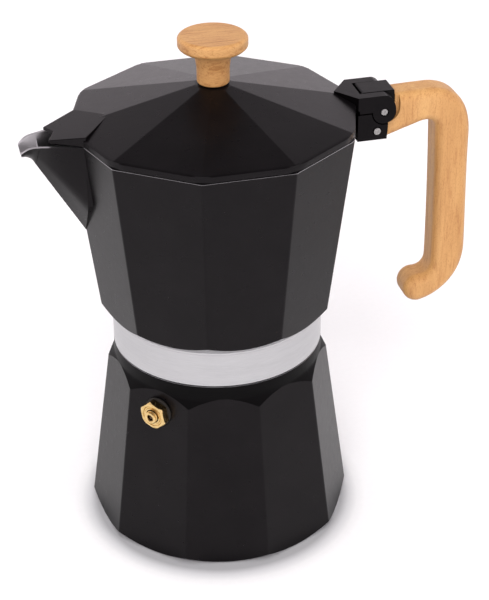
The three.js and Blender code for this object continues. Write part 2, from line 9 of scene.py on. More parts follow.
import bmesh
import bpy
from mathutils import Matrix, Vector


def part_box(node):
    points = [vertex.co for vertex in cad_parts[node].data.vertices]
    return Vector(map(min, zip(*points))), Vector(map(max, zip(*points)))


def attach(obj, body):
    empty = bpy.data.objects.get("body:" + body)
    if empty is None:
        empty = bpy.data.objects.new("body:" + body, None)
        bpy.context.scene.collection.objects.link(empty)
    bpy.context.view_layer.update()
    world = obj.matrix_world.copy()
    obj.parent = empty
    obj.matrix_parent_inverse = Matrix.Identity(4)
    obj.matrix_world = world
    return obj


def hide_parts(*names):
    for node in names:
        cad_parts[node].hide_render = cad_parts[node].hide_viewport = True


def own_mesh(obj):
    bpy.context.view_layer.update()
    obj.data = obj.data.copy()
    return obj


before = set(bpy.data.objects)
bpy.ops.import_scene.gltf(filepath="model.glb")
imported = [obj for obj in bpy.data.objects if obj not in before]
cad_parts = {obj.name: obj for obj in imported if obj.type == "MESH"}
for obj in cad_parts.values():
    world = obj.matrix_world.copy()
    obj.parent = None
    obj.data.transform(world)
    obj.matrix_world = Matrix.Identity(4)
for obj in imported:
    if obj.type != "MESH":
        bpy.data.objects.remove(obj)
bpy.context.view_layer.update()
MM = 0.001


def top_of(node):
    """Height of a node's highest point, in millimetres."""
    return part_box(node)[1].z / MM


def foot_of(node):
    """Height of a node's lowest point, in millimetres."""
    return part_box(node)[0].z / MM


# ---- driving dimensions, millimetres

SIDES = 10
HALF_SECTOR = math.pi / SIDES
COLLECTOR_TURN = 0.0
BOILER_TURN = 277.47  # direction of one of the boiler's corners, degrees
EDGE_ROUND = 1.6  # rounding of the vertical edges between facets

BOILER_CORNER = (54.0, 2.4, -0.1372)  # corner radius, at this height, change per millimetre
COLLECTOR_CORNER = (46.98, 99.56, 0.12492)
SHOULDER_TOP = 79.2
BOILER_RIM = top_of("boiler")
SHOULDER = {"height": 73.5, "slope": 0.72, "soft": 0.4}  # cone that runs up into the neck
FOOT = (51.6, 0.9)  # where the foot's chamfer starts
MOUTH = 33.2

SKIRT = {"radius": 42.0, "bottom": foot_of("collector"), "top": 94.6}
THREAD = {"pitch": 3.0, "male": (36.8, 37.7), "female": (39.4, 38.5)}
RIM = top_of("collector")
FLOOR = 104.0
WALL = 3.0
WALL_INSET = WALL / math.cos(HALF_SECTOR)  # the wall's thickness, measured at a corner
SEAT = {"radius": 36.0, "bottom": 92.2, "ceiling": 97.8}
COLUMN_TOP = 158.0
OUTLET = (2.6, 149.0)  # radius, height

PIN = (65.0, 172.5)
EAR = {
    "inner": 5.2, "outer": 9.5, "radius": 4.7,
    "top": 179.4, "bottom": 172.7, "apex": 47.4, "start": 54.4,
}
LID_SWING = 11.2
LID = {"corner": 56.4, "cut": 55.2, "bottom": 174.0, "edge": 176.5, "boss": 6.5, "apex": 188.4}
RIVET = (62.2, 164.9)
HANDLE = {"half": 7.0, "rounding": 3.8, "tip": (84.0, 89.2, 6.1), "start": 67.4, "screw": (74.5, 0)}
CORE_HALF = 4.9  # half width of the bracket's tongue
VALVE_TURN = math.radians(223.47)
VALVE_HEIGHT = 64.7
GAP = 0.3

# The spout is lofted through stations: rim x, half width, height; keel x, height.
SPOUT_OUTSIDE = {
    "blade": [(-38, 12.4, 173.64, -38, 139), (-52, 12.4, 173.64, -51.3, 133.2)],
    "flank": (11.1, 147.7),
    "lip": [
        (-67.3, 7.1, 173, -68.8, 163.5), (-70.2, 6.4, 172.7, -70, 165.5),
        (-72.4, 5.8, 171.8, -71.9, 166.8), (-74.3, 4.7, 170.1, -73.9, 167.3),
    ],
}
SPOUT_HOLLOW = {
    "blade": [(-30, 10.8, 173.7, -30, 143), (-52, 10.8, 173.7, -48.8, 139)],
    "flank": (9.4, 151),
    "lip": [
        (-67.3, 5.8, 173, -66.9, 165.4), (-70.2, 5.1, 172.7, -69.2, 167.1),
        (-72.4, 4.6, 171.8, -71.9, 168.3), (-76.5, 3.6, 170.2, -76, 168.6),
    ],
    "open": 178,
}

# ---- node material helpers


class Nodes:
    """A material's node tree with a Principled shader, and short calls that add to it."""

    def __init__(self, name, **constants):
        self.material = bpy.data.materials.new(name)
        self.material.use_nodes = True
        self.tree = self.material.node_tree
        self.shader = self.tree.nodes["Principled BSDF"]
        for socket, value in constants.items():
            self.shader.inputs[socket.replace("_", " ")].default_value = value
        self.place = self.add("ShaderNodeTexCoord").outputs["Object"]

    def add(self, kind, **settings):
        node = self.tree.nodes.new(kind)
        for key, value in settings.items():
            setattr(node, key, value)
        return node

    def link(self, a, b):
        self.tree.links.new(a, b)

    def maths(self, operation, a, b=None):
        node = self.add("ShaderNodeMath", operation=operation)
        for socket, value in zip(node.inputs, (a, b)):
            if isinstance(value, (int, float)):
                socket.default_value = value
            elif value is not None:
                self.link(value, socket)
        return node.outputs[0]

    def distance(self, x, y):
        squares = [self.maths("MULTIPLY", side, side) for side in (x, y)]
        return self.maths("SQRT", self.maths("ADD", *squares))

    def scaled(self, scale, turn=(0, 0, 0)):
        node = self.add("ShaderNodeMapping")
        node.inputs["Scale"].default_value = scale
        node.inputs["Rotation"].default_value = [math.radians(a) for a in turn]
        self.link(self.place, node.inputs["Vector"])
        return node.outputs[0]

    def noise(self, source, scale=1.0, detail=4.0, roughness=0.6, distortion=0.0):
        node = self.add("ShaderNodeTexNoise")
        settings = {"Scale": scale, "Detail": detail, "Roughness": roughness, "Distortion": distortion}
        for key, value in settings.items():
            node.inputs[key].default_value = value
        self.link(source, node.inputs["Vector"])
        return node.outputs["Fac"]

    def around(self, along=0.0):
        """Radius, height and a little of the angle about Z, so that noise on it makes turned rings."""
        parts = self.add("ShaderNodeSeparateXYZ")
        self.link(self.place, parts.inputs[0])
        x, y, z = parts.outputs
        angle = self.maths("MULTIPLY", self.maths("ARCTAN2", y, x), along)
        joined = self.add("ShaderNodeCombineXYZ")
        for value, socket in zip((self.distance(x, y), z, angle), joined.inputs):
            self.link(value, socket)
        return joined.outputs[0]

    def between(self, factor, low, high):
        """Maps a 0..1 factor to a number range."""
        node = self.add("ShaderNodeMapRange")
        self.link(factor, node.inputs["Value"])
        node.inputs["To Min"].default_value = low
        node.inputs["To Max"].default_value = high
        return node.outputs[0]

    def ramp(self, factor, *stops):
        node = self.add("ShaderNodeValToRGB")
        self.link(factor, node.inputs[0])
        elements = node.color_ramp.elements
        while len(elements) < len(stops):
            elements.new(0.5)
        for element, (position, colour) in zip(elements, stops):
            element.position = position
            element.color = (*colour, 1)
        return node.outputs[0]

    def blend(self, kind, factor, a, b):
        node = self.add("ShaderNodeMix", data_type="RGBA", blend_type=kind)
        if isinstance(factor, (int, float)):
            node.inputs[0].default_value = factor
        else:
            self.link(factor, node.inputs[0])
        for value, socket in ((a, node.inputs[6]), (b, node.inputs[7])):
            if isinstance(value, tuple):
                socket.default_value = (*value, 1)
            else:
                self.link(value, socket)
        return node.outputs[2]

    def bump(self, *layers):
        """Stacks (height, depth in metres) layers into the shader's normal."""
        last = None
        for height, depth in layers:
            node = self.add("ShaderNodeBump")
            node.inputs["Distance"].default_value = depth
            node.inputs["Strength"].default_value = 1.0
            self.link(height, node.inputs["Height"])
            if last:
                self.link(last, node.inputs["Normal"])
            last = node.outputs[0]
        self.link(last, self.shader.inputs["Normal"])

    def set(self, socket, value):
        self.link(value, self.shader.inputs[socket])

    def finish(self, colour, grain, rough, *layers):
        """Wires up the colour, a roughness range that follows a grain, and the bumps."""
        self.set("Base Color", colour)
        self.set("Roughness", self.between(grain, *rough))
        self.bump(*layers)
        return self.material

    def tangent(self):
        """Stretches reflections round the Z axis, as on a turned surface."""
        node = self.add("ShaderNodeTangent", direction_type="RADIAL", axis="Z")
        self.link(node.outputs[0], self.shader.inputs["Tangent"])


# ---- materials


def black_paint():
    """Satin stove paint over a casting: an even fine orange peel and a slight patchiness in its gloss."""
    m = Nodes("black_paint", Metallic=0.0, IOR=1.225, Specular_Tint=(1, 0.95, 0.985, 1))
    patches = m.noise(m.place, 55, 3)
    grains = m.noise(m.place, 2600, 2)
    peel = m.noise(m.place, 240, 2)
    colour = m.ramp(patches, (0.3, (0.0022, 0.0018, 0.0021)), (0.7, (0.004, 0.0034, 0.0038)))
    return m.finish(colour, m.noise(m.place, 320, 4), (0.24, 0.34), (peel, 0.00002), (grains, 0.00001))


def dull_black():
    """Flatter coat on the small castings of the hinge."""
    m = Nodes("dull_black", Metallic=0.0, IOR=1.19, Specular_Tint=(1, 0.93, 0.98, 1))
    clouds = m.noise(m.place, 90, 3)
    colour = m.ramp(clouds, (0.3, (0.001, 0.0008, 0.0009)), (0.7, (0.0026, 0.0021, 0.0024)))
    return m.finish(colour, m.noise(m.place, 320, 4), (0.3, 0.42), (m.noise(m.place, 700, 3), 0.00003))


def turned_black():
    """The same paint over the turned shoulder: fine rings show through it."""
    m = Nodes("turned_black", Metallic=0.0, IOR=1.14, Anisotropic=0.7)
    rings = m.noise(m.around(0.0004), 5200, 5, 0.75)
    m.tangent()
    colour = m.ramp(rings, (0.3, (0.0008, 0.0007, 0.0008)), (0.75, (0.003, 0.0027, 0.0029)))
    return m.finish(colour, rings, (0.28, 0.46), (rings, 0.00003))


def turned_aluminium():
    """Bare skirt: brushed round the axis, with fine lines of different brightness."""
    m = Nodes("turned_aluminium", Metallic=1.0, Anisotropic=0.65)
    lines = m.noise(m.around(0.0016), 4200, 6, 0.8)
    broad = m.noise(m.around(0.004), 420, 3)
    streaks = m.ramp(lines, (0.25, (0.44, 0.44, 0.448)), (0.75, (0.56, 0.56, 0.57)))
    clouds = m.ramp(broad, (0.3, (0.85, 0.85, 0.86)), (0.7, (1, 1, 1)))
    tone = m.blend("MULTIPLY", 0.35, streaks, clouds)
    m.tangent()
    return m.finish(tone, lines, (0.3, 0.46), (lines, 0.000012))


def cast_aluminium():
    """Inside of the castings: tumbled, slightly grainy metal."""
    m = Nodes("cast_aluminium", Metallic=1.0)
    cloud = m.noise(m.place, 90, 4)
    grain = m.noise(m.place, 1500, 5, 0.7)
    colour = m.ramp(cloud, (0.3, (0.6, 0.6, 0.61)), (0.7, (0.76, 0.76, 0.77)))
    return m.finish(colour, grain, (0.32, 0.52), (grain, 0.00004), (m.noise(m.place, 260, 3), 0.00005))


def aluminium_sheet():
    """Spun sheet: satin, with faint rings."""
    m = Nodes("aluminium_sheet", Metallic=1.0, Anisotropic=0.4)
    rings = m.noise(m.around(0.001), 2600, 5, 0.7)
    m.tangent()
    colour = m.ramp(rings, (0.3, (0.68, 0.68, 0.69)), (0.7, (0.8, 0.8, 0.81)))
    return m.finish(colour, rings, (0.24, 0.4), (rings, 0.000014))


def brass():
    """Machined brass with a thin brown tarnish in patches."""
    m = Nodes("brass", Metallic=1.0)
    tarnish = m.noise(m.place, 420, 4, 0.7)
    marks = m.noise(m.scaled((900, 900, 7000)), 1, 3)
    stops = [(0.25, (0.5, 0.33, 0.13)), (0.45, (0.66, 0.47, 0.2)), (0.8, (0.78, 0.58, 0.29))]
    colour = m.ramp(tarnish, *stops)
    return m.finish(colour, tarnish, (0.16, 0.3), (marks, 0.00001))


def steel():
    """Plain bright steel of pins, screws and the spring."""
    m = Nodes("steel", Metallic=1.0)
    marks = m.noise(m.scaled((1200, 5200, 1200)), 1, 4)
    colour = m.ramp(marks, (0.3, (0.56, 0.56, 0.58)), (0.7, (0.72, 0.72, 0.74)))
    return m.finish(colour, marks, (0.2, 0.36), (marks, 0.000008))


def pin_steel(name, tone):
    """Dull, slightly stained steel of the pin ends; a low tone is browner."""
    m = Nodes(name, Metallic=1.0)
    stain = m.noise(m.place, 1100, 4, 0.7)
    levels = [(0.3, 0.2), (0.6, 0.4), (0.8, 0.5)]
    stops = [(at, (level * tone, level * tone**1.4, level * tone**1.8)) for at, level in levels]
    colour = m.ramp(stain, *stops)
    return m.finish(colour, stain, (0.3, 0.5), (stain, 0.00004))


def seal_rubber():
    """White food-grade rubber, matt and a little dusty."""
    m = Nodes("seal_rubber", Metallic=0.0, IOR=1.45, Sheen_Weight=0.12)
    cloud = m.noise(m.place, 130, 4)
    colour = m.ramp(cloud, (0.3, (0.7, 0.67, 0.61)), (0.7, (0.82, 0.8, 0.75)))
    return m.finish(colour, m.noise(m.place, 900, 3), (0.6, 0.8), (m.noise(m.place, 1700, 3), 0.00002))


def black_fibre():
    """Pressed sealing fibre."""
    m = Nodes("black_fibre", Metallic=0.0)
    fibres = m.noise(m.scaled((900, 900, 3200)), 1, 5, 0.7)
    colour = m.ramp(fibres, (0.3, (0.008, 0.007, 0.006)), (0.7, (0.03, 0.026, 0.022)))
    return m.finish(colour, fibres, (0.7, 0.95), (fibres, 0.00005))


def wood_look(name, along, turn, lines, tone):
    """Beech-look finish: broad warm bands, long grain lines and short dark flecks along one axis."""
    m = Nodes(name, Metallic=0.0, IOR=1.45)
    squeeze = [0.09 if axis == along else 1.0 for axis in "XYZ"]
    grain = m.scaled(squeeze, turn)
    bands = m.noise(grain, 120, 3, 0.5, 1.2)
    veins = m.noise(grain, 900, 4, 0.65, 0.5)
    short = [0.3 if axis == along else 1.0 for axis in "XYZ"]
    flecks = m.noise(m.scaled(short, turn), 3600, 2, 0.5)
    stops = [(0.3, (0.55, 0.28, 0.094)), (0.5, (0.62, 0.33, 0.116)), (0.72, (0.68, 0.383, 0.142))]
    warm = m.ramp(bands, *((at, tuple(v * tone for v in colour)) for at, colour in stops))
    dark_veins = m.ramp(veins, (0.36, (0.66, 0.5, 0.38)), (0.5, (1, 1, 1)))
    dark_flecks = m.ramp(flecks, (0.33, (0.55, 0.38, 0.27)), (0.45, (1, 1, 1)))
    veined = m.blend("MULTIPLY", lines, warm, dark_veins)
    colour = m.blend("MULTIPLY", 0.4, veined, dark_flecks)
    return m.finish(colour, veins, (0.42, 0.58), (flecks, 0.00002), (veins, 0.000025))


PAINT = black_paint()
DULL = dull_black()
TURNED_BLACK = turned_black()
TURNED = turned_aluminium()
CAST = cast_aluminium()
SHEET = aluminium_sheet()
BRASS = brass()
STEEL = steel()
STEM_STEEL = pin_steel("stem_steel", 0.35)
PIN_STEEL = pin_steel("pin_steel", 0.95)
RUBBER = seal_rubber()
FIBRE = black_fibre()
HANDLE_WOOD = wood_look("handle_wood", "Z", (0, 14, 0), 0.5, 0.85)
KNOB_WOOD = wood_look("knob_wood", "X", (0, 0, -16), 0.8, 0.84)

# ---- mesh helpers


def mesh_piece(name, points, faces, materials, face_material=None):
    """A mesh object from points in millimetres; face_material holds one material index per face."""
    mesh = bpy.data.meshes.new(name)
    mesh.from_pydata([Vector(p) * MM for p in points], [], faces)
    for material in materials:
        mesh.materials.append(material)
    if face_material:
        mesh.polygons.foreach_set("material_index", face_material)
    work = bmesh.new()
    work.from_mesh(mesh)
    bmesh.ops.remove_doubles(work, verts=work.verts, dist=1e-7)
    bmesh.ops.recalc_face_normals(work, faces=work.faces)
    work.to_mesh(mesh)
    work.free()
    piece = bpy.data.objects.new(name, mesh)
    bpy.context.scene.collection.objects.link(piece)
    return piece


def baked(piece):
    """Applies a piece's modifiers to its mesh."""
    bpy.context.view_layer.update()
    graph = bpy.context.evaluated_depsgraph_get()
    mesh = bpy.data.meshes.new_from_object(piece.evaluated_get(graph))
    piece.modifiers.clear()
    piece.data = mesh
    return piece


def combine(operation, piece, *tools):
    """Cuts or joins closed tools into a piece, and removes the tools."""
    for tool in tools:
        change = piece.modifiers.new("change", "BOOLEAN")
        change.operation = operation
        change.solver = "MANIFOLD"
        change.material_mode = "TRANSFER"
        change.object = tool
        baked(piece)
        bpy.data.objects.remove(tool)
    return piece


def cut(piece, *tools):
    return combine("DIFFERENCE", piece, *tools)


def join(piece, *tools):
    return combine("UNION", piece, *tools)


def common(piece, *tools):
    return combine("INTERSECT", piece, *tools)


def bevelled(piece, width, segments=3, angle=35):
    """Rounds the edges sharper than an angle, to a width in millimetres."""
    change = piece.modifiers.new("edges", "BEVEL")
    change.width = width * MM
    change.segments = segments
    change.limit_method = "ANGLE"
    change.use_clamp_overlap = True
    change.angle_limit = math.radians(angle)
    return baked(piece)


def smooth(piece, angle=28, flat_sides=False):
    """Smooth shading; edges sharper than an angle, or between two materials, stay crisp."""
    for polygon in piece.data.polygons:
        polygon.use_smooth = not (flat_sides and abs(polygon.normal.y) > 0.9999)
    piece.data.set_sharp_from_angle(angle=math.radians(angle))
    work = bmesh.new()
    work.from_mesh(piece.data)
    bmesh.ops.dissolve_degenerate(work, dist=2e-6, edges=work.edges)
    for edge in work.edges:
        if len({face.material_index for face in edge.link_faces}) > 1:
            edge.smooth = False
    work.to_mesh(piece.data)
    work.free()
    change = piece.modifiers.new("flat_faces", "WEIGHTED_NORMAL")
    change.keep_sharp = True
    change.weight = 80
    return baked(piece)


def softened(points, closed=False, steps=4):
    """Rounds the corners of an outline whose points may have a third value, the rounding's radius."""
    made = []
    count = len(points)
    for i, point in enumerate(points):
        here = Vector(point[:2])
        radius = point[2] if len(point) > 2 else 0
        if not radius or (not closed and i in (0, count - 1)):
            made.append(tuple(here))
            continue
        back = Vector(points[i - 1][:2]) - here
        ahead = Vector(points[(i + 1) % count][:2]) - here
        half = back.angle(ahead) / 2
        reach = min(radius / math.tan(half), back.length * 0.49, ahead.length * 0.49)
        start, end = here + back.normalized() * reach, here + ahead.normalized() * reach
        for k in range(steps + 1):
            t = k / steps
            made.append(tuple(start * (1 - t) ** 2 + here * 2 * t * (1 - t) + end * t * t))
    return made


def arc(cx, cy, radius, start, end, steps):
    """Points of an arc between two angles in degrees."""
    angles = [math.radians(start + (end - start) * i / steps) for i in range(steps + 1)]
    return [(cx + radius * math.cos(a), cy + radius * math.sin(a)) for a in angles]


def bezier(a, b, c, d, steps=14):
    """Points of a cubic curve, without its first."""
    a, b, c, d = (Vector(p) for p in (a, b, c, d))
    made = []
    for i in range(1, steps + 1):
        t = i / steps
        s = 1 - t
        made.append(tuple(a * s**3 + b * 3 * s * s * t + c * 3 * s * t * t + d * t**3))
    return made


def full_turn(count):
    """Evenly spaced directions all the way round."""
    return [2 * math.pi * i / count for i in range(count)]


def stack(name, loops, materials, face_material=None):
    """A closed solid through loops of equally many points, with a flat face at each end."""
    count = len(loops[0])
    points = [p for loop in loops for p in loop]
    faces = [list(range(count)), list(range(len(points) - count, len(points)))]
    for base in range(0, len(points) - count, count):
        for i in range(count):
            k = (i + 1) % count
            faces.append([base + i, base + k, base + count + k, base + count + i])
    return mesh_piece(name, points, faces, materials, face_material)


def skin(name, rows, materials, loop=False):
    """A closed surface through rows, each (points, index of the material leading up to it)."""
    points, starts = [], []
    for row, _ in rows:
        starts.append(len(points))
        points.extend(row)
    faces, paints = [], []
    pairs = list(zip(range(len(rows) - 1), range(1, len(rows))))
    if loop:
        pairs.append((len(rows) - 1, 0))
    for a, b in pairs:
        low, high = rows[a][0], rows[b][0]
        count = max(len(low), len(high))
        for i in range(count):
            k = (i + 1) % count
            corners = [(a, low, i), (a, low, k), (b, high, k), (b, high, i)]
            indices = [starts[at] + (turn if len(row) > 1 else 0) for at, row, turn in corners]
            faces.append(list(dict.fromkeys(indices)))
            paints.append(rows[b][1])
    return mesh_piece(name, points, faces, materials, paints)


def circle(radius, height, turns):
    """A round row through the given directions, or one point on the axis."""
    if radius < 1e-6:
        return [(0, 0, height)]
    return [(radius * math.cos(a), radius * math.sin(a), height) for a in turns]


def circles(profile, turns, material_index):
    """Round rows along a profile of (radius, height)."""
    return [(circle(radius, height, turns), material_index) for radius, height in profile]


def lathe(name, profile, material, segments=96, loop=False):
    """A profile of (radius, height) turned about Z."""
    return skin(name, circles(profile, full_turn(segments), 0), [material], loop)


def tube(name, inner, outer, low, high, material, edge=0.15, segments=96):
    """A ring with lightly rounded edges."""
    corners = [(inner, low, edge), (outer, low, edge), (outer, high, edge), (inner, high, edge)]
    return lathe(name, softened(corners, closed=True), material, segments, loop=True)


def prism(name, outline, low, high, material, plane="XZ"):
    """An outline in the XZ plane pushed along Y, or in the XY plane pushed along Z."""
    def place(point, depth):
        return (point[0], depth, point[1]) if plane == "XZ" else (point[0], point[1], depth)

    return stack(name, [[place(p, depth) for p in outline] for depth in (low, high)], [material])


def cross_pin(name, at, radius, half, material, segments=48):
    """A round bar along Y through (x, z)."""
    return prism(name, arc(*at, radius, 0, 360 - 360 / segments, segments - 1), -half, half, material)


def block(name, low, high, material):
    """A box from its lowest corner to its highest."""
    outline = [(low[0], low[2]), (high[0], low[2]), (high[0], high[2]), (low[0], high[2])]
    return prism(name, outline, low[1], high[1], material)


def drill(name, radius, low, high, material, at=(0, 0), segments=24):
    """An upright round bar."""
    outline = [(at[0] + radius * math.cos(a), at[1] + radius * math.sin(a)) for a in full_turn(segments)]
    return prism(name, outline, low, high, material, plane="XY")


def done(piece, node, body, angle=28, flat_sides=False):
    """Shades a piece, stands it for its CAD node, and lets it ride on its body."""
    smooth(piece, angle, flat_sides)
    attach(piece, body)
    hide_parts(node)
    return piece


# ---- ten-sided surfaces

CORNER_SHARE = 0.2  # share of a half facet's samples that lie on the rounded corner
SAMPLES = [-1 + 0.8 * i / 8 for i in range(8)]
SAMPLES += [-0.2, -0.1, 0, 0.1, 0.2] + [0.3 + 0.1 * i for i in range(7)]


def facet_point(corner_radius, sample, round_off):
    """Angle from the corner's direction, and radius, of one sample between two facet middles."""
    middle = corner_radius * math.cos(HALF_SECTOR)
    centre = (middle - round_off) / math.cos(HALF_SECTOR)
    side = math.copysign(1, sample)
    if abs(sample) <= CORNER_SHARE + 1e-9:
        tangent = math.atan2(round_off * math.sin(HALF_SECTOR), centre + round_off * math.cos(HALF_SECTOR))
        angle = sample / CORNER_SHARE * tangent
        return angle, centre * math.cos(angle) + math.sqrt(round_off**2 - (centre * math.sin(angle)) ** 2)
    run = centre * math.sin(HALF_SECTOR) * (1 - (abs(sample) - CORNER_SHARE) / (1 - CORNER_SHARE))
    return side * (HALF_SECTOR - math.atan(run / middle)), math.hypot(middle, run)


class Facets:
    """Ten-sided sections of one body: rows of points at a height, or where a turned surface cuts them."""

    def __init__(self, first, law, round_off=EDGE_ROUND):
        self.first = math.radians(first)
        self.law = law
        self.round_off = round_off

    def corner(self, height):
        radius, base, change = self.law
        return radius + change * (height - base)

    def samples(self):
        return [(self.first + 2 * HALF_SECTOR * k, u) for k in range(SIDES) for u in SAMPLES]

    def turns(self, corner_radius=50.0):
        return [a + facet_point(corner_radius, u, self.round_off)[0] for a, u in self.samples()]

    def row(self, corner_radius, height, limit=1e9, round_off=None):
        made = []
        for direction, u in self.samples():
            angle, radius = facet_point(corner_radius, u, round_off or self.round_off)
            made += circle(min(radius, limit), height, [direction + angle])
        return made

    def meeting(self, turned_radius, low, high):
        """The row where the facets cross a turned surface whose radius is a function of height."""
        made = []
        for direction, u in self.samples():
            a, b = low, high
            sign = facet_point(self.corner(a), u, self.round_off)[1] > turned_radius(a)
            for _ in range(40):
                z = (a + b) / 2
                angle, radius = facet_point(self.corner(z), u, self.round_off)
                if (radius > turned_radius(z)) == sign:
                    a = z
                else:
                    b = z
            made += circle(radius, z, [direction + angle])
        return made


def mixed(row_a, row_b, share):
    """A row part of the way from one to another."""
    return [tuple(p + (q - p) * share for p, q in zip(a, b)) for a, b in zip(row_a, row_b)]


def thread_rows(turns, root, crest, low, high, paint):
    """Rows of a helical thread between two heights, fading in and out at its ends."""
    rows = []
    count = round((high - low) / THREAD["pitch"] * 12)
    for i in range(count + 1):
        z = low + (high - low) * i / count
        fade = max(0.0, min(1.0, (z - low) / 1.4, (high - z) / 1.4))
        row = []
        for a in turns:
            phase = (z / THREAD["pitch"] - a / (2 * math.pi)) % 1
            shape = max(0.0, min(1.0, (0.72 - abs(phase - 0.5) * 2) / 0.42))
            row += circle(root + (crest - root) * shape * fade, z, [a])
        rows.append((row, paint))
    return rows


# ---- boiler and valve


def boiler():
    facets = Facets(BOILER_TURN, BOILER_CORNER)
    turns = facets.turns()
    foot_edge = facets.meeting(lambda z: FOOT[0] + (z - FOOT[1]), 0.9, 8)

    def shoulder_radius(z):
        drop = SHOULDER["height"] - z
        return SKIRT["radius"] + SHOULDER["slope"] * (drop + math.hypot(drop, SHOULDER["soft"])) / 2

    arches = facets.meeting(shoulder_radius, 66, 73.6)
    paint, turned, bare, cast = range(4)
    base = softened([(0, 0.5), (43.6, 0.5, 0.3), (44.2, 0, 0.3), (50.2, 0, 0.4), FOOT])
    rows = circles(base, turns, bare)
    rows.append((mixed(circle(*FOOT, turns), foot_edge, 0.5), paint))
    rows += [(mixed(foot_edge, arches, i / 6), paint) for i in range(7)]
    for i in range(1, 13):
        heights = [z + (77.2 - z) * i / 12 for _, _, z in arches]
        rows.append(([circle(shoulder_radius(z), z, [a])[0] for z, a in zip(heights, turns)], turned))
    root, crest = THREAD["male"]
    side = SKIRT["radius"]
    top = SHOULDER_TOP
    neck = softened([(side, 77.5), (side, top, 0.4), (root + 0.2, top, 0.2), (root, top + 0.6)])
    rows += circles(neck[:4], turns, turned) + circles(neck[4:], turns, bare)
    rows += thread_rows(turns, root, crest, top + 0.9, BOILER_RIM - 0.9, bare)
    inside = [(root, BOILER_RIM - 0.7), (root - 0.6, BOILER_RIM, 0.2), (MOUTH + 0.5, BOILER_RIM, 0.4)]
    inside += [(MOUTH, BOILER_RIM - 0.6), (MOUTH, 75, 3), (39.9, 64, 8), (47.4, 8.5, 4), (43, 5, 2), (0, 5)]
    inside = softened(inside)
    rows += [(circle(r, z, turns), bare if z > 75 else cast) for r, z in inside]
    piece = skin("boiler_casting", rows, [PAINT, TURNED_BLACK, TURNED, CAST])
    hole = on_valve(drill("valve_hole", 4.3, 30, 60, CAST, segments=48))
    spot = on_valve(drill("valve_spot", 6.3, 42.6, 60, PAINT, segments=64))
    return done(cut(piece, spot, hole), "boiler", "boiler_unit")


def on_valve(piece):
    """Lays a piece made along +Z, at its distance from the pot's axis, along the valve's axis."""
    lift = Matrix.Translation((0, 0, VALVE_HEIGHT * MM))
    piece.data.transform(lift @ Matrix.Rotation(VALVE_TURN, 4, "Z") @ Matrix.Rotation(math.pi / 2, 4, "Y"))
    return piece


def valve_body():
    """Chamfered hexagon on a threaded shank, hollow for the plunger."""
    flats, back, face = 10.5, 44.2, 47.5
    corner = flats / 2 / math.cos(math.pi / 6)
    hexagon = arc(0, 0, corner, 12, 312, 5)
    nut = bevelled(prism("valve_nut", hexagon, back, face, BRASS, plane="XY"), 0.25, 2)
    cone = [(0, back - 1), (corner + 1, back - 1), (corner + 1, face - 1.5), (flats / 2, face)]
    cone += [(4.4, face), (4.1, face - 0.35), (3.7, face - 0.35), (3.5, face), (0, face)]
    common(nut, lathe("valve_cone", cone, BRASS))
    shank = [(0, 36.4), (3.6, 36.4)]
    for i in range(61):
        z = 36.8 + 7.0 * i / 60
        shank.append((3.72 + 0.28 * abs((z / 0.9) % 1 - 0.5) * 2, z))
    shank += [(3.9, 44.0), (3.9, back + 0.5), (0, back + 0.5)]
    join(nut, lathe("valve_shank", shank, BRASS, 64))
    hollow = lathe("valve_hollow", [(0, 35), (1.2, 35), (1.2, 39), (2.9, 39), (2.9, 48), (0, 48)], BRASS, 48)
    nut.name = "valve_hexagon"
    return done(on_valve(cut(nut, hollow)), "valve_body", "boiler_unit")


def valve_small_pieces():
    washer = on_valve(tube("valve_fibre_washer", 4.3, 5.9, 42.9, 43.9, FIBRE, 0.2, 64))
    done(washer, "valve_washer", "boiler_unit")
    cap = [(1.3, 45.4), (2.6, 45.4), (2.6, 47.9, 0.1), (2.35, 48.1, 0.1), (2.6, 48.3, 0.1)]
    cap += [(2.6, 49.0, 0.25), (2.3, 49.3, 0.2), (1.6, 49.3, 0.2), (1.3, 49.0, 0.1)]
    ring = lathe("valve_cap_ring", softened(cap, closed=True), BRASS, 64, loop=True)
    done(on_valve(ring), "valve_cap", "boiler_unit")
    stem = [(0, 39.3), (2.2, 39.3, 0.2), (2.5, 39.7, 0.1), (2.5, 40.3, 0.15)]
    stem += [(0.9, 40.3, 0.1), (0.9, 48.2, 0.2), (0.5, 48.6, 0.2), (0, 48.6)]
    pin = lathe("valve_pin", softened(stem), STEM_STEEL, 48)
    done(on_valve(pin), "valve_plunger", "valve_stem")


def valve_spring():
    """Round wire wound on a helix with closed ends."""
    radius, wire, start, end, turns = 1.75, 0.28, 40.95, 44.75, 4
    steps, sides = turns * 28, 10
    rows = []
    for i in range(steps + 1):
        a = i / 28 * 2 * math.pi
        z = start + (end - start) * i / steps
        out = Vector((math.cos(a), math.sin(a), 0))
        shrink = min(1.0, 0.35 + min(i, steps - i) / 4)
        row = []
        for k in range(sides):
            b = 2 * math.pi * k / sides
            point = out * (radius + wire * shrink * math.cos(b))
            row.append((point.x, point.y, z + wire * shrink * math.sin(b)))
        rows.append((row, 0))
    first = tuple(sum((Vector(p) for p in rows[0][0]), Vector()) / sides)
    last = tuple(sum((Vector(p) for p in rows[-1][0]), Vector()) / sides)
    coil = skin("valve_coil", [([first], 0), *rows, ([last], 0)], [STEEL])
    piece = done(on_valve(coil), "valve_spring", "valve_stem", 60)
    anchor = Vector((math.cos(VALVE_TURN) * start, math.sin(VALVE_TURN) * start, VALVE_HEIGHT)) * MM
    return piece, anchor


# ---- funnel, gasket and filter


